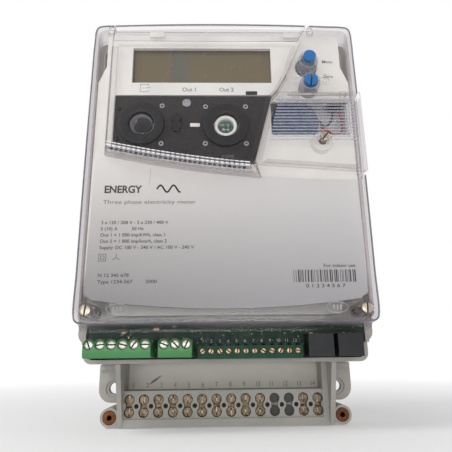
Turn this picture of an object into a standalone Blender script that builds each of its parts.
"""A wall-mounted three-phase electricity meter with a clear cover, shown without its terminal cover.

X runs to the right, Z up and -Y out of the wall. The wall is the plane Y = 0, X = 0 is the middle of the
meter and Z = 0 the lower edge of its terminal block. All dimensions below are in millimetres, and a
depth is a distance from the wall. An outline is a list of points: (x, z) for a piece that is flat
against the wall, (depth, z) for one that runs across, (x, depth) for one that runs upwards.
"""

from math import asin, atan2, cos, pi, radians, sin, tan

import bmesh
import bpy
from mathutils import Matrix, Vector

MM = 0.001
WELD = 1e-6
GAP = 0.3  # clearance between neighbouring pieces

# The frame: two lower fixing holes at the standard spacing, the terminal block between them.
FIXING_SPACING = 150.0
FIXING_HEIGHT = 22.0
FIXING_RADIUS = 3.5
SEAT_RADIUS = 5.4  # shallow seat for the head round each fixing hole
SEAT_DEPTH = 0.6
BLOCK_HALF = 68.0
BLOCK_HEIGHT = 37.9
BLOCK_DEPTH = 24.0
EAR_HALF = 85.0
EAR_BOTTOM = 13.1
EAR_THICK = 6.0
EAR_CORNER = 8.5
EAR_STEP = (33.7, 7.2)  # height above which the ears are thicker, and that thickness
CHEEK_WIDTH = 3.0
CHEEK_TOP_DEPTH = 38.5  # the side cheeks lean forward to meet the base

# The rear tray and its rim.
BASE_HALF = 87.5
BASE_BOTTOM = 38.2
BASE_TOP = 258.5
BASE_WALL = 2.5
RIM_HALF = 89.8
RIM_BOTTOM = 49.8
RIM_TOP = 262.0
RIM_BACK = 42.8
RIM_FRONT = 46.0

# The clear cover: a drafted box whose front bulges and whose upper edge is an arc.
COVER_HALF = 86.0
COVER_BOTTOM = 60.5
COVER_TOP = 258.5
COVER_CORNER = 4.5
ARCH_RISE = 2.5
ARCH_STEPS = 10
COVER_FRONT = 72.0
BULGE = 1.3
CREASE = 246.0
CREASE_SLOPE = 0.17
COVER_WALL = 2.2
COVER_BACK = RIM_FRONT + GAP
LIP_FRONT = 48.6
LIP_BOTTOM = 56.4
DRAFT = 2.2  # how much further out each wall stands at the back
PAST_FRONT = 80.0  # where cutters that leave by the front end

# Pieces behind the cover.
CHASSIS_FRONT = 63.0
CHASSIS_PLATE = 2.0
PANEL_BACK = CHASSIS_FRONT + GAP
LABEL_FRONT = 66.8
LABEL_RISE = 1.6  # from the sweep line up to the upper edge of the label
BEZEL_FRONT = 66.0
PANEL_FRONT = 65.5
PANEL_RISE = 10.8  # from the sweep line up to the lower edge of the panel
SKIRT = (47.0, 49.0)  # depths of the chassis flange behind the cover's posts
SKIRT_HALF = 84.2
SKIRT_BOTTOM = 61.2
SKIRT_TOP = 82.0
RING_FRONT = 68.3
RING_RADIUS = 14.85
PORT_RADIUS = 8.0
PORTS = ((-53.9, 186.4), (0.6, 185.4))
WINDOW = (-61.3, 31.6, 217.0, 243.7)  # display window: left, right, bottom, top

# Front door: its slanted right edge from top to bottom, and the hinge axis.
DOOR_LEFT = -73.8
DOOR_RIGHT_EDGE = ((59.5, 266.0), (48.8, 245.8), (40.3, 219.2), (34.4, 208.5), (29.6, 202.6), (17.8, 158.2))
DOOR_FOOT = 20.4
DOOR_THICK = 2.0
DOOR_HINGE = (67.8, 257.6)  # depth, z
DOOR_CLEARANCE = 0.4
FOOT_RISE = 1.2  # from the sweep line up to the door's foot
RIDGE_TOP = 6.9  # from the sweep line up to the top of the grip bar
LEDGE_REACH = (1.2, -2.4)  # how far the ledge stands outside and inside the door's outline
RIDGE_FRONT = 75.8
LEDGE_BACK = 67.2
LEDGE_FRONT = 68.8
LEDGE_TOP = 243.0
NOTCH_BACK = 63.3
HINGE_EARS = ((-78.6, -74.8), (57.6, 61.2))  # left and right sides of each
EAR_DEPTH = (64.6, 69.0)
EAR_HEIGHT = (254.2, 259.6)

# Battery door: its corners clockwise from the upper left, and the hinge axis.
BATTERY_DOOR = ((31.2, 203.6), (86.9, 203.6), (86.9, 149.4), (19.3, 154.4))
BATTERY_HINGE = (75.0, 202.8)  # depth, z
BATTERY_DOOR_BACK = 73.6
BATTERY_DOOR_FRONT = 75.6
BATTERY_SCREW = (62.2, 173.1)
RIB_PITCH = 2.15
RIB_COUNT = 14

# Controls and their bores.
BUTTON = (55.8, 230.5)
BUTTON_RADIUS = 4.15
BUTTON_BORE = 4.7
RESET = (56.0, 213.5)
RESET_RADIUS = 4.4
RESET_BORE = 4.8
COVER_SCREW = (80.0, 67.8)
BUTTON_FRONT = 77.5
RESET_FRONT = 76.6
STEM_FRONT = 66.2
BATTERY_SCREW_FRONT = 76.3
COVER_SCREW_FRONT = 71.0
HEAD_HEIGHT = 1.75

# Terminals.
TERMINAL_PITCH = 9.2
TERMINAL_FIRST = -61.4
TERMINAL_COUNT = 14
BLANK_TERMINALS = (10, 11)
USED_TERMINALS = [number for number in range(TERMINAL_COUNT) if number not in BLANK_TERMINALS]
CLAMP_SCREWS = (16.1, 8.6)  # heights of the two screws of each clamp
STRIP_FRONT = 22.8
CABLE_DEPTH = 13.0
LARGE_PITCH = 6.35
LARGE_FIRST = (-78.1, -35.9)
LARGE_COUNT = (6, 3)
LARGE_HEIGHT = 49.0
LARGE_FRONT = 66.0
SMALL_PITCH = 5.08
SMALL_FIRST = -14.3
SMALL_COUNT = 12
SMALL_HEIGHT = 45.0
SMALL_FRONT = 57.0
BOARD_BACK = 44.6
BOARD_FRONT = 46.2
BOARD_BOTTOM = 41.4
BOARD_TOP = 62.0
SOCKETS = (54.65, 71.95)
INSERTS = (73.6, 5.7)
LEAD_RADIUS = 0.75

MATERIALS = {
    "clear": ((0.86, 0.85, 0.87), 0.08, 0.0),
    "white": ((0.80, 0.80, 0.77), 0.45, 0.0),
    "beige": ((0.33, 0.31, 0.28), 0.5, 0.0),
    "label": ((0.60, 0.60, 0.61), 0.3, 0.0),
    "black": ((0.035, 0.035, 0.036), 0.5, 0.0),
    "display": ((0.16, 0.13, 0.09), 0.25, 0.0),
    "blue": ((0.03, 0.17, 0.47), 0.35, 0.0),
    "battery": ((0.05, 0.08, 0.16), 0.4, 0.0),
    "red": ((0.45, 0.02, 0.03), 0.5, 0.0),
    "green": ((0.03, 0.13, 0.05), 0.45, 0.0),
    "teal": ((0.01, 0.12, 0.08), 0.45, 0.0),
    "board": ((0.01, 0.05, 0.03), 0.5, 0.0),
    "brass": ((0.52, 0.38, 0.18), 0.35, 1.0),
    "steel": ((0.60, 0.59, 0.56), 0.35, 1.0),
    "copper": ((0.30, 0.16, 0.08), 0.4, 1.0),
}

# For each direction: where an outline's own x, y and thickness point, and where its distance grows.
DIRECTIONS = {
    "depth": (Matrix(((1, 0, 0), (0, 0, -1), (0, 1, 0))), Vector((0, -1, 0))),
    "across": (Matrix(((0, 0, -1), (-1, 0, 0), (0, 1, 0))), Vector((1, 0, 0))),
    "up": (Matrix(((1, 0, 0), (0, -1, 0), (0, 0, -1))), Vector((0, 0, 1))),
}


# Scene and modelling helpers


def clear_scene():
    for old in list(bpy.data.objects):
        bpy.data.objects.remove(old, do_unlink=True)


def add_collection(name):
    collection = bpy.data.collections.new(name)
    bpy.context.scene.collection.children.link(collection)
    return collection


def add_materials():
    for name, (colour, roughness, metallic) in MATERIALS.items():
        material = bpy.data.materials.new(name)
        material.use_nodes = True
        shader = material.node_tree.nodes["Principled BSDF"]
        shader.inputs["Base Color"].default_value = (*colour, 1)
        shader.inputs["Roughness"].default_value = roughness
        shader.inputs["Metallic"].default_value = metallic
        if name == "clear":
            shader.inputs["Alpha"].default_value = 0.35


def new_piece(name, mesh):
    piece = bpy.data.objects.new(name, mesh)
    PARTS.objects.link(piece)
    return piece


def finish(piece, material, smooth_angle=30.0):
    """Gives a piece its material, and smooth shading on everything but its edges."""
    piece.data.materials.clear()
    piece.data.materials.append(bpy.data.materials[material])
    piece.data.shade_smooth()
    piece.data.set_sharp_from_angle(angle=radians(smooth_angle))
    return piece


def solid_from(guide, name):
    """The solid that a curve or modified object draws, in world space; the guide is removed."""
    bpy.context.view_layer.update()
    graph = bpy.context.evaluated_depsgraph_get()
    mesh = bpy.data.meshes.new_from_object(guide.evaluated_get(graph))
    mesh.name = name
    mesh.transform(guide.matrix_world)
    shape = bmesh.new()
    shape.from_mesh(mesh)
    bmesh.ops.remove_doubles(shape, verts=shape.verts, dist=WELD)
    bmesh.ops.recalc_face_normals(shape, faces=shape.faces)
    shape.to_mesh(mesh)
    shape.free()
    bpy.data.objects.remove(guide)
    return new_piece(name, mesh)


def prism(name, direction, outlines, low, high):
    """A flat piece from outlines, the first its edge and the rest its holes, between two distances."""
    curve = bpy.data.curves.new(name, "CURVE")
    curve.dimensions = "2D"
    curve.fill_mode = "BOTH"
    curve.extrude = (high - low) / 2 * MM
    for outline in outlines:
        spline = curve.splines.new("POLY")
        spline.points.add(len(outline) - 1)
        for point, (x, y) in zip(spline.points, outline):
            point.co = (x * MM, y * MM, 0, 1)
        spline.use_cyclic_u = True
    guide = bpy.data.objects.new(name + "_outline", curve)
    bpy.context.scene.collection.objects.link(guide)
    frame, towards = DIRECTIONS[direction]
    middle = towards * (low + high) / 2 * MM
    guide.matrix_world = Matrix.Translation(middle) @ frame.to_4x4()
    return solid_from(guide, name)


def block(name, x, depth, z):
    """A box between two values of x, of depth and of height."""
    shape = bmesh.new()
    bmesh.ops.create_cube(shape, size=MM)
    size = (x[1] - x[0], depth[1] - depth[0], z[1] - z[0])
    middle = ((x[0] + x[1]) / 2, -(depth[0] + depth[1]) / 2, (z[0] + z[1]) / 2)
    bmesh.ops.scale(shape, vec=size, verts=shape.verts)
    bmesh.ops.translate(shape, vec=Vector(middle) * MM, verts=shape.verts)
    mesh = bpy.data.meshes.new(name)
    shape.to_mesh(mesh)
    shape.free()
    return new_piece(name, mesh)


def rod(name, direction, centre, radius, low, high, segments=24):
    """A cylinder along a direction, whose centre is a point as in an outline."""
    frame, towards = DIRECTIONS[direction]
    place = frame @ Vector((centre[0], centre[1], 0)) + towards * (low + high) / 2
    shape = bmesh.new()
    bmesh.ops.create_cone(
        shape,
        cap_ends=True,
        segments=segments,
        radius1=radius * MM,
        radius2=radius * MM,
        depth=(high - low) * MM,
        matrix=Matrix.Translation(place * MM) @ frame.to_4x4(),
    )
    mesh = bpy.data.meshes.new(name)
    shape.to_mesh(mesh)
    shape.free()
    return new_piece(name, mesh)


def turned(name, centre, profile, segments=28):
    """A solid of revolution about an axis out of the wall: (radius, depth) points, front to back."""
    shape = bmesh.new()
    corners = [shape.verts.new((radius * MM, 0, depth * MM)) for radius, depth in profile]
    for first, second in zip(corners, corners[1:]):
        shape.edges.new((first, second))
    if profile[0][0] > 0:
        shape.edges.new((corners[-1], corners[0]))
    mesh = bpy.data.meshes.new(name)
    shape.to_mesh(mesh)
    shape.free()
    guide = bpy.data.objects.new(name + "_profile", mesh)
    bpy.context.scene.collection.objects.link(guide)
    guide.rotation_euler = (pi / 2, 0, 0)
    guide.location = (centre[0] * MM, 0, centre[1] * MM)
    screw = guide.modifiers.new("turn", "SCREW")
    screw.steps = segments
    screw.render_steps = segments
    screw.use_merge_vertices = True
    screw.merge_threshold = 1e-5
    return solid_from(guide, name)


def wire(name, points, radius, sides=2):
    """A round wire through (x, depth, z) points."""
    curve = bpy.data.curves.new(name, "CURVE")
    curve.dimensions = "3D"
    curve.bevel_depth = radius * MM
    curve.bevel_resolution = sides
    curve.use_fill_caps = True
    spline = curve.splines.new("POLY")
    spline.points.add(len(points) - 1)
    for point, (x, depth, z) in zip(spline.points, points):
        point.co = (x * MM, -depth * MM, z * MM, 1)
    guide = bpy.data.objects.new(name + "_path", curve)
    bpy.context.scene.collection.objects.link(guide)
    return solid_from(guide, name)


def together(name, pieces):
    """One object from pieces that don't touch each other, for use as a cutter or an addition."""
    shape = bmesh.new()
    for piece in pieces:
        shape.from_mesh(piece.data)
        bpy.data.objects.remove(piece)
    mesh = bpy.data.meshes.new(name)
    shape.to_mesh(mesh)
    shape.free()
    return new_piece(name, mesh)


def combine(piece, other, operation):
    """A Boolean modifier; the other shape moves to the cutters, out of the render."""
    modifier = piece.modifiers.new(operation.lower() + "_" + other.name, "BOOLEAN")
    modifier.operation = operation
    modifier.solver = "EXACT"
    modifier.object = other
    PARTS.objects.unlink(other)
    CUTTERS.objects.link(other)
    other.hide_render = True
    other.display_type = "WIRE"


def cut(piece, *cutters):
    for cutter in cutters:
        combine(piece, cutter, "DIFFERENCE")
    return piece


def join(piece, *others):
    for other in others:
        combine(piece, other, "UNION")
    return piece


def keep_inside(piece, other):
    combine(piece, other, "INTERSECT")
    return piece


def bake(piece):
    """The piece with its modifiers applied, for a mesh that several copies share."""
    name = piece.name
    piece.name = name + "_guide"
    return solid_from(piece, name)


def origin_at(piece, x, depth, z):
    """Moves a piece's origin, and not the piece, to a point on its joint's axis."""
    place = Vector((x, -depth, z)) * MM
    piece.data.transform(Matrix.Translation(-place))
    piece.location = place


# Outlines


def rounded(corners, steps=4):
    """The outline through (x, y, radius) corners, each radius above zero turned into an arc."""
    outline = []
    count = len(corners)
    for number, (x, y, radius) in enumerate(corners):
        if radius == 0:
            outline.append((x, y))
            continue
        here = Vector((x, y))
        before = (Vector(corners[number - 1][:2]) - here).normalized()
        after = (Vector(corners[(number + 1) % count][:2]) - here).normalized()
        half = before.angle(after) / 2
        centre = here + (before + after).normalized() * radius / sin(half)
        first = here + before * radius / tan(half) - centre
        last = here + after * radius / tan(half) - centre
        start = atan2(first.y, first.x)
        sweep = (atan2(last.y, last.x) - start + pi) % (2 * pi) - pi
        for step in range(steps + 1):
            angle = start + sweep * step / steps
            outline.append((centre.x + radius * cos(angle), centre.y + radius * sin(angle)))
    return outline


def rounded_box(x, y, radius, steps=4):
    corners = ((x[0], y[0]), (x[1], y[0]), (x[1], y[1]), (x[0], y[1]))
    return rounded([(*corner, radius) for corner in corners], steps)


def circle(centre, radius, segments=24):
    turns = [2 * pi * step / segments for step in range(segments)]
    return [(centre[0] + radius * cos(turn), centre[1] + radius * sin(turn)) for turn in turns]


def double_well(x, radius, neck, steps=9):
    """Two round wells, one above the other, joined by a narrower neck."""
    upper, lower = CLAMP_SCREWS
    opening = asin(neck / radius)
    outline = []
    for centre, start in ((upper, -pi / 2 + opening), (lower, pi / 2 + opening)):
        for step in range(steps + 1):
            angle = start + (2 * pi - 2 * opening) * step / steps
            outline.append((x + radius * cos(angle), centre + radius * sin(angle)))
    return outline


def cover_outline(inset=0.0, corner=COVER_CORNER):
    """The cover's front outline: straight sides and foot, and an arc along the top."""
    half = COVER_HALF - inset
    bottom = COVER_BOTTOM + inset
    top = COVER_TOP - inset
    arch = []
    for step in range(1, ARCH_STEPS):
        x = half - 2 * half * step / ARCH_STEPS
        arch.append((x, top + ARCH_RISE * (1 - (x / half) ** 2), 0))
    corners = [(-half, bottom, 3.0), (half, bottom, 3.0), (half, top, corner), *arch, (-half, top, corner)]
    return rounded(corners)


def cover_front(z):
    """Depth of the cover's front face at a height."""
    middle = (COVER_BOTTOM + CREASE) / 2
    along = (z - middle) / (CREASE - middle)
    return COVER_FRONT + BULGE * (1 - along**2) - max(0.0, z - CREASE) * CREASE_SLOPE


def sweep_line(x):
    """The long shallow curve that the door's foot and the label's upper edge follow."""
    return 150.6 - 0.1161 * x + 0.000732 * x * x


def along_sweep(left, right, offset, steps=8):
    points = []
    for step in range(steps + 1):
        x = left + (right - left) * step / steps
        points.append((x, sweep_line(x) + offset))
    return points


def grown(outline, distance):
    """A convex-ish outline moved outwards by a distance, corner by corner."""
    count = len(outline)
    area = sum(
        outline[i][0] * outline[(i + 1) % count][1] - outline[(i + 1) % count][0] * outline[i][1]
        for i in range(count)
    )
    side = 1 if area > 0 else -1
    moved = []
    for number, point in enumerate(outline):
        here = Vector(point)
        before = (here - Vector(outline[number - 1])).normalized()
        after = (Vector(outline[(number + 1) % count]) - here).normalized()
        normal = Vector((before.y + after.y, -before.x - after.x)).normalized() * side
        share = max(0.5, Vector((before.y, -before.x)).dot(normal) * side)
        moved.append(tuple(here + normal * distance / share))
    return moved


def door_outline():
    """The front door seen from the front, taken up past the top of the cover."""
    foot = along_sweep(DOOR_LEFT, DOOR_FOOT, FOOT_RISE)
    return [(DOOR_LEFT, DOOR_RIGHT_EDGE[0][1]), *foot, *reversed(DOOR_RIGHT_EDGE)]


# Shapes shared by the cover and its doors


def front_slab(name, inset):
    """Everything behind the cover's front face moved inwards by the inset."""
    heights = [50, 60.5, 85, 110, 135, 153, 175, 200, 225, CREASE, 255, 275]
    front = [(cover_front(z) - inset, z) for z in heights]
    return prism(name, "across", [[(30, 275), (30, 50), *front]], -100, 100)


def drafted_box(name, inset, back):
    """The cover's outline as a box whose walls lean outwards to the back."""
    shell = prism(name, "depth", [cover_outline(inset)], back, PAST_FRONT)
    lean = DRAFT / (COVER_FRONT - COVER_BACK)
    middle = (COVER_BOTTOM + COVER_TOP) / 2 * MM
    half_height = (COVER_TOP - COVER_BOTTOM) / 2 * MM
    for vertex in shell.data.vertices:
        extra = (COVER_FRONT * MM + vertex.co.y) * lean
        vertex.co.x += extra * vertex.co.x / (COVER_HALF * MM)
        vertex.co.z += extra * (vertex.co.z - middle) / half_height
    return shell


def cover_body(name, inset=0.0, back=COVER_BACK + 1.0):
    return keep_inside(drafted_box(name, inset, back), front_slab(name + "_slab", inset))


# Fixed pieces, from the wall outwards


def base_housing():
    """Rear tray with an outer rim, posts for the cover's screws and a pocket for the hanger."""
    tray_outline = rounded_box((-BASE_HALF, BASE_HALF), (BASE_BOTTOM, BASE_TOP), 5)
    rim_outline = rounded_box((-RIM_HALF, RIM_HALF), (RIM_BOTTOM, RIM_TOP), 6)
    inner = BASE_HALF - BASE_WALL
    hollow_outline = rounded_box((-inner, inner), (BASE_BOTTOM + BASE_WALL, BASE_TOP - BASE_WALL), 3)
    tray = prism("base_housing", "depth", [tray_outline], 0, RIM_FRONT - 0.5)
    rim = prism("base_rim", "depth", [rim_outline], RIM_BACK, RIM_FRONT)
    join(tray, rim)
    cut(tray, prism("base_hollow", "depth", [hollow_outline], 3, 50))
    front_opening = [(-100, 30), (100, 30), (100, RIM_BOTTOM - 0.1), (-100, RIM_BOTTOM - 0.1)]
    cut(tray, prism("base_step", "depth", [front_opening], 41, 50))
    for side, label in ((-1, "left"), (1, "right")):
        place = (side * COVER_SCREW[0], COVER_SCREW[1])
        join(tray, rod("base_post_" + label, "depth", place, 4.5, 2, RIM_FRONT - 1))
        cut(tray, rod("base_post_bore_" + label, "depth", place, 1.9, 25, 50, 16))
    cut(tray, block("hanger_pocket", (-11, 11), (-1, 2.6), (236, 270)))
    return finish(tray, "beige")


def hanger_plate():
    """Steel lug at the top, with the upper fixing hole."""
    outline = rounded([(-10, 237, 1), (10, 237, 1), (10, 268.5, 9), (-10, 268.5, 9)], 6)
    hole = circle((0, 263.5), 2.6, 20)
    return finish(prism("hanger_plate", "depth", [outline, hole], 0, 2.2), "steel")


def terminal_centres(numbers):
    return [TERMINAL_FIRST + TERMINAL_PITCH * number for number in numbers]


def terminal_block():
    """Block with a front strip of double wells, fixing ears and two insert bosses.

    Each used well has a chamber behind it, open to the rear, and a cable entry below.
    """
    body = block("terminal_block", (-BLOCK_HALF, BLOCK_HALF), (0, BLOCK_DEPTH), (0, BLOCK_HEIGHT))
    ear_top = BLOCK_HEIGHT - GAP
    corners = [(EAR_HALF, EAR_BOTTOM, EAR_CORNER), (EAR_HALF, ear_top, 1), (-EAR_HALF, ear_top, 1)]
    ear_outline = rounded([*corners, (-EAR_HALF, EAR_BOTTOM, EAR_CORNER)], 6)
    fixings = [circle((side * FIXING_SPACING / 2, FIXING_HEIGHT), FIXING_RADIUS, 20) for side in (-1, 1)]
    join(body, prism("block_ears", "depth", [ear_outline, *fixings], 0.05, EAR_THICK))
    height, thickness = EAR_STEP
    for side, label in ((-1, "left"), (1, "right")):
        reach = sorted((side * (BLOCK_HALF - 1), side * (EAR_HALF - 0.4)))
        join(body, block("ear_step_" + label, reach, (EAR_THICK - 0.5, thickness), (height, ear_top - 0.4)))
        place = (side * FIXING_SPACING / 2, FIXING_HEIGHT)
        seat = EAR_THICK - SEAT_DEPTH
        cut(body, rod("ear_seat_" + label, "depth", place, SEAT_RADIUS, seat, EAR_THICK + 1))
    for side, label in ((-1, "left"), (1, "right")):
        place = (side * INSERTS[0], INSERTS[1])
        join(body, rod("block_boss_" + label, "depth", place, 5.9, 0.1, 22, 28))
        cut(body, rod("block_boss_bore_" + label, "depth", place, 4.3, 10, 26, 24))
    for side in (-1, 1):
        walls = sorted((side * BLOCK_HALF, side * (BLOCK_HALF - CHEEK_WIDTH)))
        slope = [(5, 0), (BLOCK_DEPTH, 0), (CHEEK_TOP_DEPTH, BLOCK_HEIGHT), (5, BLOCK_HEIGHT)]
        join(body, prism("block_cheek", "across", [slope], *walls))
    cut(body, block("block_recess", (-65, 61.5), (9, 30), (21.5, 50)))
    cut(body, block("block_strip_step", (-64.5, 61), (STRIP_FRONT, 30), (4.7, 22)))
    centres = terminal_centres(range(TERMINAL_COUNT))
    used = terminal_centres(USED_TERMINALS)
    chambers = [block("chamber", (x - 3.8, x + 3.8), (-1, 19.5), (4.6, 20.2)) for x in used]
    cut(body, together("block_chambers", chambers))
    wells = [prism("well", "depth", [double_well(x, 3.3, 2.1)], 18, 30) for x in centres]
    cut(body, together("block_wells", wells))
    entries = [rod("entry", "up", (x, CABLE_DEPTH), 3.2, -2, 6, 12) for x in used]
    cut(body, together("block_entries", entries))
    between = [x + TERMINAL_PITCH / 2 for x in centres[:-1]]
    probes = [rod("probe", "depth", (x, 12.3), 1.5, 21, 30, 8) for x in between]
    cut(body, together("block_probes", probes))
    return finish(body, "beige")


def terminal_clamps():
    """Brass cages with a cable bore, each clamped by two slotted screws."""
    cage = block("clamp_pattern", (-3.4, 3.4), (8, 19), (5.2, 19.7))
    for number, height in enumerate(CLAMP_SCREWS):
        join(cage, rod(f"clamp_screw_{number}", "depth", (0, height), 2.7, 15, 21.6, 14))
    for number, height in enumerate(CLAMP_SCREWS):
        cut(cage, block(f"clamp_slot_{number}", (-0.4, 0.4), (20.6, 23), (height - 4, height + 3.5)))
    cut(cage, rod("clamp_bore", "up", (0, CABLE_DEPTH), 2.3, 0, 30, 10))
    pattern = bake(cage)
    finish(pattern, "brass")
    for place, x in enumerate(terminal_centres(USED_TERMINALS), start=1):
        clamp = new_piece(f"terminal_clamp_{place:02d}", pattern.data)
        clamp.location.x = x * MM
    bpy.data.objects.remove(pattern)


def block_inserts():
    """Threaded brass inserts that the terminal cover screws into."""
    profile = [(1.6, 22.3), (4.0, 22.3), (4.0, 12), (1.6, 12)]
    pattern = turned("insert_pattern", (0, INSERTS[1]), profile, 20)
    finish(pattern, "copper")
    for side, label in ((-1, "left"), (1, "right")):
        insert = new_piece("cover_insert_" + label, pattern.data)
        insert.location.x = side * INSERTS[0] * MM
    bpy.data.objects.remove(pattern)


def io_board():
    """Upright circuit board in the open bay, carrying the small terminals and sockets."""
    board = block("io_board", (-83.5, 83.5), (BOARD_BACK, BOARD_FRONT), (BOARD_BOTTOM, BOARD_TOP))
    return finish(board, "board")


def large_terminal_body(name, first, count):
    """Green terminal block with a screw well per way in front and a wire entry per way below."""
    last = first + LARGE_PITCH * (count - 1)
    sides = (first - 3.1, last + 3.1)
    body = block(name, sides, (BOARD_FRONT + GAP, LARGE_FRONT), (41.7, 53.4))
    centres = [first + LARGE_PITCH * number for number in range(count)]
    wells = [rod("well", "depth", (x, LARGE_HEIGHT), 2.95, 62.6, 70, 18) for x in centres]
    cut(body, together(name + "_wells", wells))
    bores = [rod("bore", "depth", (x, LARGE_HEIGHT), 1.9, 53.5, 64, 12) for x in centres]
    cut(body, together(name + "_bores", bores))
    entries = [block("entry", (x - 2.4, x + 2.4), (51.5, 60.5), (40, 46)) for x in centres]
    cut(body, together(name + "_entries", entries))
    notches = [block("notch", (x - 1.2, x + 1.2), (63.2, 70), (52.2, 56)) for x in centres]
    cut(body, together(name + "_notches", notches))
    return finish(body, "green")


def large_terminal_screws():
    """Slotted screws of the two large terminal blocks, each turning in its own well."""
    profile = [(0, 65.4), (2.5, 65.4), (2.65, 65.1), (2.65, 63), (1.5, 63), (1.5, 54.5), (0, 54.5)]
    screw = turned("screw_pattern", (0, 0), profile, 18)
    cut(screw, block("screw_slot", (-4, 4), (64.3, 67), (-0.4, 0.4)))
    pattern = bake(screw)
    finish(pattern, "steel")
    number = 0
    for first, count in zip(LARGE_FIRST, LARGE_COUNT):
        for place in range(count):
            number += 1
            screw = new_piece(f"terminal_screw_{number}", pattern.data)
            screw.location = ((first + LARGE_PITCH * place) * MM, 0, LARGE_HEIGHT * MM)
            screw.rotation_euler.y = radians(37 * number % 180)
    bpy.data.objects.remove(pattern)


def small_terminal_body():
    """Low 12-way terminal block."""
    last = SMALL_FIRST + SMALL_PITCH * (SMALL_COUNT - 1)
    sides = (SMALL_FIRST - 2.8, last + 2.8)
    body = block("terminal_body_12way", sides, (BOARD_FRONT + GAP, SMALL_FRONT), (40.6, 48.0))
    centres = [SMALL_FIRST + SMALL_PITCH * number for number in range(SMALL_COUNT)]
    wells = [rod("well", "depth", (x, SMALL_HEIGHT), 2.0, 55, 60, 14) for x in centres]
    cut(body, together("small_wells", wells))
    entries = [block("entry", (x - 1.6, x + 1.6), (49, 53), (39, 43.5)) for x in centres]
    cut(body, together("small_entries", entries))
    return finish(body, "teal")


def data_sockets():
    """Two shielded sockets that take a plug from below."""
    for middle, label in zip(SOCKETS, ("left", "right")):
        name = "data_socket_" + label
        socket = block(name, (middle - 7.35, middle + 7.35), (BOARD_FRONT + GAP, 60), (41.3, 54.4))
        cut(socket, block(name + "_mouth", (middle - 5.95, middle + 5.95), (49, 57.5), (40, 52.5)))
        cut(socket, block(name + "_latch", (middle - 2, middle + 2), (56.5, 59), (40, 50)))
        finish(socket, "black")


def chassis_outline(inset, radius):
    """The chassis from the front: a narrow head on sloping shoulders, and cut-back lower corners."""
    half = [(66.0, 65.0), (70.0, 75.0), (84.0, 76.0), (84.0, 219.0), (79.3, 231.0), (79.3, 256.2)]
    corners = grown([*half, *[(-x, z) for x, z in reversed(half)]], -inset)
    return rounded([(*corner, radius) for corner in corners], 2)


def inner_chassis():
    """White moulding behind the cover: a front plate, a deep edge, a battery pocket and a button cup."""
    outline = chassis_outline(0, 2)
    left, right, bottom, top = WINDOW
    display_hole = rounded_box((left - 1.7, right + 1.7), (bottom - 1.8, top + 1.9), 0.5, 1)
    battery_hole = rounded_box((30.6, 83.0), (180.5, 204.5), 1, 1)
    port_holes = [circle(port, PORT_RADIUS + 0.2) for port in PORTS]
    holes = [display_hole, battery_hole, *port_holes, circle(BUTTON, 7.4), circle(RESET, 6.2)]
    plate_back = CHASSIS_FRONT - CHASSIS_PLATE
    chassis = prism("inner_chassis", "depth", [outline, *holes], plate_back, CHASSIS_FRONT)
    edge_outlines = [chassis_outline(0.6, 1.5), chassis_outline(2.4, 0.5)]
    edge = prism("chassis_edge", "depth", edge_outlines, 34, plate_back + 0.5)
    join(chassis, edge)
    skirt = block("chassis_skirt", (-SKIRT_HALF, SKIRT_HALF), SKIRT, (SKIRT_BOTTOM, SKIRT_TOP))
    for side in (-1, 1):
        cut(skirt, rod("skirt_bore", "depth", (side * COVER_SCREW[0], COVER_SCREW[1]), 2.6, 40, 60, 20))
    join(chassis, skirt)
    pocket = block("chassis_pocket", (28.4, 82.6), (44, 59.3), (174.8, 211.6))
    cut(pocket, block("chassis_pocket_hollow", (29.9, 81.1), (45.5, 61), (176.2, 210.2)))
    join(chassis, pocket)
    for corner, (x, z) in enumerate(((29.4, 175.8), (81.4, 175.8), (81.4, 210.8))):
        tie = block(f"chassis_tie_{corner}", (x - 0.9, x + 0.9), (58, plate_back + 0.6), (z - 0.9, z + 0.7))
        join(chassis, tie)
    cup = rod("chassis_cup", "depth", BUTTON, 8.6, 53.5, plate_back + 0.5, 28)
    cut(cup, rod("chassis_cup_hollow", "depth", BUTTON, 7.4, 55, 66, 24))
    cut(cup, rod("chassis_cup_bore", "depth", BUTTON, 2.8, 50, 58, 16))
    join(chassis, cup)
    join(chassis, rod("chassis_post", "depth", BATTERY_SCREW, 6.6, plate_back - 3, 68.2, 28))
    cut(chassis, rod("chassis_post_bore", "depth", BATTERY_SCREW, 2.4, 60, 70, 16))
    cut(chassis, block("chassis_window_relief", (30.6, 82.6), (59.5, 62), (180.5, 182)))
    return finish(chassis, "white")


def display_bezel():
    """White frame around the display, with a slanted right side."""
    outline = [(-71.5, 207.7), (31.4, 207.7), (35.2, 213.0), (41.2, 223.3), (52.6, 249.7), (-71.5, 249.2)]
    left, right, bottom, top = WINDOW
    window = [(left, bottom), (right, bottom), (right, top), (left, top)]
    frame = prism("display_bezel", "depth", [outline, window], PANEL_BACK, BEZEL_FRONT)
    return finish(frame, "white")


def display_module():
    left, right, bottom, top = WINDOW
    module = block("display_module", (left - 1.2, right + 1.2), (58.3, 62.7), (bottom - 1.3, top + 1.4))
    return finish(module, "display")


def port_panel():
    """Black panel between the display and the door's foot, with a bore for each optical port."""
    foot = along_sweep(-71.7, 18.7, PANEL_RISE, 6)
    outline = [(-71.7, 207.3), *foot, (31.0, 207.0)]
    bores = [circle(port, PORT_RADIUS + 0.2) for port in PORTS]
    return finish(prism("port_panel", "depth", [outline, *bores], PANEL_BACK, PANEL_FRONT), "black")


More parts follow.
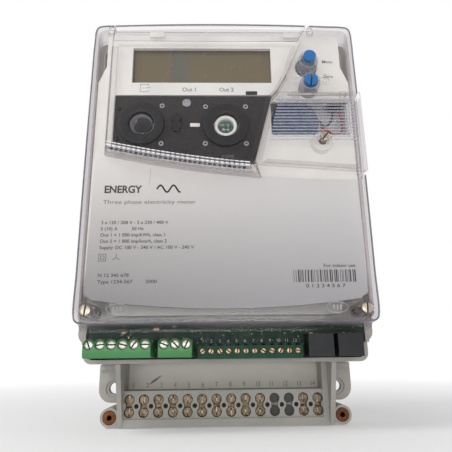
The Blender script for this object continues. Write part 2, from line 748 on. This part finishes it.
def port_rings():
    """Flat black rings that an optical probe sits against."""
    profile = [
        (PORT_RADIUS, RING_FRONT - 0.6), (PORT_RADIUS + 0.6, RING_FRONT), (RING_RADIUS - 0.7, RING_FRONT),
        (RING_RADIUS, RING_FRONT - 0.7), (RING_RADIUS, PANEL_FRONT + GAP), (PORT_RADIUS, PANEL_FRONT + GAP),
    ]
    for port, label in zip(PORTS, ("left", "right")):
        finish(turned("port_ring_" + label, port, profile, 36), "black")


def port_lenses():
    """Windows in the two optical ports: a dark one on the left and a clear one on the right."""
    profile = [(0, 66.4), (4.5, 66.2), (7.2, 65.4), (7.6, 64.9), (7.6, 58), (0, 58)]
    for port, label, material in zip(PORTS, ("left", "right"), ("black", "clear")):
        finish(turned("port_lens_" + label, port, profile, 24), material)


def panel_clip():
    """Small black clip between the two ports."""
    outline = [
        (-33.1, 181.2), (-29.7, 181.2), (-29.7, 183.4), (-28.1, 183.4), (-28.1, 185.8), (-29.5, 186.6),
        (-29.5, 188.6), (-28.1, 189.4), (-28.1, 191.6), (-30.2, 191.6), (-30.2, 194.0), (-32.6, 194.0),
        (-32.6, 191.6), (-34.7, 191.6), (-34.7, 189.4), (-33.3, 188.6), (-33.3, 186.6), (-34.7, 185.8),
        (-34.7, 183.4), (-33.1, 183.4),
    ]
    return finish(prism("panel_clip", "depth", [outline], PANEL_FRONT + GAP, 67.2), "black")


def label_plate():
    """Data plate over the lower half: swept upper edge, and a foot that hangs in a shallow arc."""
    top = along_sweep(-81.4, 82.2, LABEL_RISE, 10)
    foot = []
    for step in range(9):
        x = 78.0 - 156.0 * step / 8
        foot.append((x, 68.4 + 5.4 * (x / 78.0) ** 2, 0))
    corners = [*[(x, z, 0) for x, z in top], (82.4, 77.5, 2.5), *foot, (-82.4, 77.5, 2.5)]
    return finish(prism("label_plate", "depth", [rounded(corners, 3)], PANEL_BACK, LABEL_FRONT), "label")


def battery_cell():
    """Flat round lithium cell in a sleeve, standing on edge in its pocket."""
    profile = [(0, 57.5), (15.4, 57.5), (16.2, 56.7), (16.2, 47.3), (15.4, 46.5), (0, 46.5)]
    return finish(turned("battery_cell", (47.6, 193.2), profile, 36), "battery")


def battery_plug():
    return finish(block("battery_plug", (70.0, 79.0), (53.5, 58.5), (202.2, 206.5)), "black")


def battery_leads():
    """The cell's two leads, from its edge down and round to the plug, drawn as one pair."""
    lower = [
        (65.2, 57, 190), (68.5, 57.2, 186.5), (72.5, 57.2, 183.8), (76.5, 57.2, 185.5),
        (78.2, 57, 190), (77, 56.6, 195.5), (76, 56.2, 200.8),
    ]
    upper = [
        (65.0, 56.6, 193.5), (67.5, 56.6, 191), (70.5, 56.4, 191.5), (71.8, 56.2, 195.5),
        (73.4, 56.1, 199.6), (75.9, 56.1, 200.3),
    ]
    leads = wire("battery_leads", lower, LEAD_RADIUS)
    join(leads, wire("battery_lead_upper", upper, LEAD_RADIUS))
    return finish(leads, "red", 60)


def main_board():
    return finish(block("main_board", (-78, 78), (18, 19.6), (78, 246)), "board")


def current_transformers():
    """Three toroids on the main board that measure the phase currents."""
    profile = [(6, 33), (7, 34), (15, 34), (16, 33), (16, 21), (15, 20), (7, 20), (6, 21)]
    pattern = turned("transformer_pattern", (0, 105), profile, 24)
    finish(pattern, "black")
    for number, x in enumerate((-50, 0, 50), start=1):
        copy = new_piece(f"current_transformer_{number}", pattern.data)
        copy.location.x = x * MM
    bpy.data.objects.remove(pattern)


# Moving pieces


def main_cover():
    """Clear outer shell with the door opening, the battery opening, and collars for the controls."""
    cover = cover_body("main_cover")
    lip_outline = rounded_box((-RIM_HALF, RIM_HALF), (LIP_BOTTOM, RIM_TOP), 6)
    join(cover, prism("cover_lip", "depth", [lip_outline], COVER_BACK, LIP_FRONT))
    cut(cover, cover_body("cover_hollow", COVER_WALL, COVER_BACK - 2))
    stepped_bore = [(0, 78), (3.6, 78), (3.6, 69), (1.9, 69), (1.9, 45), (0, 45)]
    for side, label in ((-1, "left"), (1, "right")):
        place = (side * COVER_SCREW[0], COVER_SCREW[1])
        join(cover, rod("cover_post_" + label, "depth", place, 4.5, 50, COVER_FRONT - 0.5, 24))
        cut(cover, turned("cover_post_bore_" + label, place, stepped_bore, 20))
    add_door_ledge(cover)
    add_control_collars(cover)
    add_battery_opening(cover)
    return finish(cover, "clear")


def add_door_ledge(cover):
    """Cuts the front door's opening, and adds the ledge it closes on and its two hinge ears."""
    outline = door_outline()
    depth, z = DOOR_HINGE
    rings = [grown(outline, reach) for reach in LEDGE_REACH]
    ledge = prism("door_ledge", "depth", rings, LEDGE_BACK, COVER_FRONT - 0.4)
    keep_inside(ledge, block("ledge_range", (-90, 90), (60, PAST_FRONT), (130, LEDGE_TOP)))
    join(cover, ledge)
    cut(cover, prism("door_opening", "depth", [grown(outline, DOOR_CLEARANCE)], LEDGE_FRONT, PAST_FRONT))
    notch = prism("hinge_notch", "depth", [grown(outline, DOOR_CLEARANCE)], NOTCH_BACK, PAST_FRONT - 1)
    keep_inside(notch, block("notch_range", (-90, 90), (60, PAST_FRONT + 2), (LEDGE_TOP + 6, 280)))
    cut(cover, notch)
    corner = (HINGE_EARS[1][0] - 3.6, HINGE_EARS[1][0] + 0.3)
    cut(cover, block("corner_clearance", corner, (NOTCH_BACK, PAST_FRONT - 1), (z - 0.6, 280)))
    for ear in HINGE_EARS:
        join(cover, block("hinge_ear", ear, EAR_DEPTH, EAR_HEIGHT))
    bores = [
        rod("ear_bore", "across", (depth, z), 1.3, -77.9, -70, 12),
        rod("ear_bore", "across", (depth, z), 1.3, 50, 60.5, 12),
    ]
    cut(cover, together("hinge_bores", bores))


def add_control_collars(cover):
    """Sleeves round the push-button and the reset knob, the latter with two eyelets for a seal wire."""
    join(cover, rod("button_collar", "depth", BUTTON, 6.7, 62.4, 72.9, 28))
    cut(cover, rod("button_bore", "depth", BUTTON, BUTTON_BORE, 55, PAST_FRONT, 24))
    x, z = RESET
    join(cover, rod("reset_collar", "depth", RESET, 6.6, 64, 74.4, 28))
    wings = rounded_box((x - 12.4, x + 12.4), (z - 2.6, z + 2.6), 2.5)
    middles = (x - 9.3, x + 9.3)
    eyelets = [rounded_box((middle - 1.6, middle + 1.6), (z - 1.2, z + 1.2), 1.1) for middle in middles]
    join(cover, prism("reset_wings", "depth", [wings, *eyelets], 71.6, 74.0))
    cut(cover, rod("reset_bore", "depth", RESET, RESET_BORE, 55, PAST_FRONT, 24))


def add_battery_opening(cover):
    """Cuts the battery opening and the corner that the battery door wraps, and adds two hinge lugs."""
    depth, z = BATTERY_HINGE
    opening = grown(list(BATTERY_DOOR), -2.6)
    cut(cover, prism("battery_opening", "depth", [opening], 66, PAST_FRONT))
    cut(cover, block("battery_corner", (81, 95), (66.0, PAST_FRONT), (148.6, 204.6)))
    lugs = [block("lug", (x - 1.6, x + 1.6), (71.6, 76.6), (z - 1.5, z + 1.6)) for x in (45.5, 75.5)]
    join(cover, together("battery_lugs", lugs))
    cut(cover, rod("battery_lug_bore", "across", (depth, z), 0.95, 40, 80, 12))


def front_door():
    """Clear flap over the display and ports: curved skin, swept grip bar, and a bead with two pins."""
    door = cover_body("front_door")
    cut(door, front_slab("door_back", DOOR_THICK))
    keep_inside(door, prism("door_shape", "depth", [door_outline()], 55, PAST_FRONT))
    depth, z = DOOR_HINGE
    join(door, rod("door_bead", "across", (depth, z), 2.2, DOOR_LEFT + 0.1, 53.4, 16))
    join(door, rod("door_pins", "across", (depth, z), 0.95, -77.4, 60.0, 12))
    upper = along_sweep(DOOR_LEFT + 1.0, 16.9, RIDGE_TOP)
    lower = along_sweep(DOOR_LEFT + 1.0, 19.4, FOOT_RISE + 0.05)
    ridge = prism("door_ridge", "depth", [[*lower, *reversed(upper)]], COVER_FRONT - 0.6, RIDGE_FRONT)
    join(door, ridge)
    tab = rounded_box((-2.4, 5.0), (156.0, 159.6), 1.6)
    join(door, prism("door_tab", "depth", [tab], COVER_FRONT - 0.4, RIDGE_FRONT + 1.4))
    return finish(door, "clear")


def battery_door():
    """Ribbed clear flap that wraps the cover's right edge, hinged on a steel pin along its top."""
    depth, z = BATTERY_HINGE
    outline = rounded([(*corner, 1.0) for corner in BATTERY_DOOR], 2)
    door = prism("battery_door", "depth", [outline], BATTERY_DOOR_BACK, BATTERY_DOOR_FRONT)
    right = BATTERY_DOOR[1][0]
    join(door, block("battery_door_side", (right - 2.0, right - 0.02), (66.6, 74.5), (151.4, 201.0)))
    outer = grown(list(BATTERY_DOOR), -3.4)
    inner = grown(list(BATTERY_DOOR), -4.8)
    join(door, prism("battery_door_lip", "depth", [outer, inner], 70.6, 74))
    slope = (BATTERY_DOOR[0][0] - BATTERY_DOOR[3][0]) / (BATTERY_DOOR[0][1] - BATTERY_DOOR[3][1])
    ribs = []
    for number in range(RIB_COUNT):
        height = 198.6 - RIB_PITCH * number
        left = BATTERY_DOOR[0][0] - (BATTERY_DOOR[0][1] - height) * slope + 4.0
        ribs.append(block("rib", (left, right - 5.0), (75.2, 76.2), (height - 0.55, height + 0.55)))
    join(door, together("battery_ribs", ribs))
    join(door, rod("battery_bead", "across", (depth, z), 1.5, 33.6, right - 0.6, 14))
    gaps = [block("gap", (x - 2.0, x + 2.0), (70, 80), (z - 2.2, z + 4)) for x in (45.5, 75.5)]
    cut(door, together("battery_lug_gaps", gaps))
    cut(door, rod("battery_bead_bore", "across", (depth, z), 0.95, 40, 80, 12))
    join(door, rod("battery_screw_boss", "depth", BATTERY_SCREW, 4.4, 72.4, 75.9, 24))
    head_pocket = [(0, 80), (3.2, 80), (3.2, 74.2), (1.9, 74.2), (1.9, 70), (0, 70)]
    cut(door, turned("battery_screw_bore", BATTERY_SCREW, head_pocket, 20))
    return finish(door, "clear")


def battery_door_pin():
    depth, z = BATTERY_HINGE
    return finish(rod("battery_door_pin", "across", (depth, z), 0.6, 40.6, 79.4, 12), "steel")


def captive_screw(name, centre, head_radius, front, shank_end):
    """Slotted screw: a flat head, then a shank that ends at a depth."""
    back = front - HEAD_HEIGHT
    profile = [
        (0, front), (head_radius - 0.4, front), (head_radius, front - 0.4), (head_radius, back), (1.5, back),
        (1.5, shank_end), (0, shank_end),
    ]
    screw = turned(name, centre, profile, 24)
    x, z = centre
    slot = block(name + "_slot", (-4, 4), (front - 0.8, front + 2), (-0.4, 0.4))
    slot.data.transform(Matrix.Rotation(radians(-50), 4, "Y"))
    slot.data.transform(Matrix.Translation(Vector((x, 0, z)) * MM))
    cut(screw, slot)
    return finish(screw, "brass")


def captive_screws():
    for side, label in ((-1, "left"), (1, "right")):
        place = (side * COVER_SCREW[0], COVER_SCREW[1])
        captive_screw("cover_screw_" + label, place, 3.15, COVER_SCREW_FRONT, 33)
    captive_screw("battery_door_screw", BATTERY_SCREW, 2.8, BATTERY_SCREW_FRONT, 68.6)


def display_button():
    """Blue push-button: cap, retaining flange and stem."""
    front = BUTTON_FRONT
    radius = BUTTON_RADIUS
    profile = [
        (0, front), (radius - 0.7, front), (radius - 0.2, front - 0.2), (radius, front - 0.7),
        (radius, 62.1), (6.2, 62.1), (6.2, 60.7), (2.2, 60.7), (2.2, 57.5), (0, 57.5),
    ]
    return finish(turned("display_button", BUTTON, profile, 28), "blue")


def button_spring():
    """Return spring between the button's flange and the floor of its cup."""
    turns, steps, radius, wire_radius = 4, 12, 4.2, 0.3
    start, end = 55 + GAP + wire_radius, 60.7 - GAP - wire_radius
    path = []
    for step in range(turns * steps + 1):
        angle = 2 * pi * step / steps
        depth = start + (end - start) * step / (turns * steps)
        path.append((BUTTON[0] + radius * cos(angle), depth, BUTTON[1] + radius * sin(angle)))
    return finish(wire("button_spring", path, wire_radius, 1), "steel", 60)


def reset_stem():
    """White plunger behind the reset knob."""
    profile = [(0, STEM_FRONT), (3.2, STEM_FRONT), (3.2, 63.6), (5.6, 63.6), (5.6, 62.2), (0, 62.2)]
    return finish(turned("reset_stem", RESET, profile, 24), "white")


def reset_knob():
    """Blue knob with a deep screwdriver slot and a notch in its upper edge."""
    x, z = RESET
    front = RESET_FRONT
    radius = RESET_RADIUS
    back = STEM_FRONT + GAP
    profile = [(0, front), (radius - 0.4, front), (radius, front - 0.4), (radius, back), (0, back)]
    knob = turned("reset_knob", RESET, profile, 28)
    slot = block("reset_slot", (-0.6, 0.6), (73.6, 80), (-8, 8))
    slot.data.transform(Matrix.Rotation(radians(8), 4, "Y"))
    slot.data.transform(Matrix.Translation(Vector((x, 0, z)) * MM))
    cut(knob, slot)
    notch = [(x - 2.6, z + 5), (x - 0.9, z + 2.2), (x + 0.6, z + 5)]
    cut(knob, prism("reset_notch", "depth", [notch], 73.6, 80))
    return finish(knob, "blue")


def set_origins():
    """Puts each moving piece's origin on its joint's axis."""
    door_depth, door_z = DOOR_HINGE
    battery_depth, battery_z = BATTERY_HINGE
    screw_x, screw_z = COVER_SCREW
    axes = {
        "main_cover": (0, COVER_BACK, COVER_BOTTOM),
        "front_door": (0, door_depth, door_z),
        "battery_door": (0, battery_depth, battery_z),
        "battery_door_screw": (BATTERY_SCREW[0], BATTERY_SCREW_FRONT, BATTERY_SCREW[1]),
        "display_button": (BUTTON[0], BUTTON_FRONT, BUTTON[1]),
        "reset_stem": (RESET[0], STEM_FRONT, RESET[1]),
        "reset_knob": (RESET[0], RESET_FRONT, RESET[1]),
        "cover_screw_left": (-screw_x, COVER_SCREW_FRONT, screw_z),
        "cover_screw_right": (screw_x, COVER_SCREW_FRONT, screw_z),
    }
    for name, place in axes.items():
        origin_at(bpy.data.objects[name], *place)


def build():
    base_housing()
    hanger_plate()
    terminal_block()
    terminal_clamps()
    block_inserts()
    io_board()
    large_terminal_body("terminal_body_6way", LARGE_FIRST[0], LARGE_COUNT[0])
    large_terminal_body("terminal_body_3way", LARGE_FIRST[1], LARGE_COUNT[1])
    large_terminal_screws()
    small_terminal_body()
    data_sockets()
    main_board()
    current_transformers()
    inner_chassis()
    display_module()
    display_bezel()
    port_panel()
    port_rings()
    port_lenses()
    panel_clip()
    label_plate()
    battery_cell()
    battery_plug()
    battery_leads()
    main_cover()
    front_door()
    battery_door()
    battery_door_pin()
    captive_screws()
    display_button()
    button_spring()
    reset_stem()
    reset_knob()
    set_origins()


clear_scene()
PARTS = add_collection("electric_meter")
CUTTERS = add_collection("cutters")
add_materials()
build()
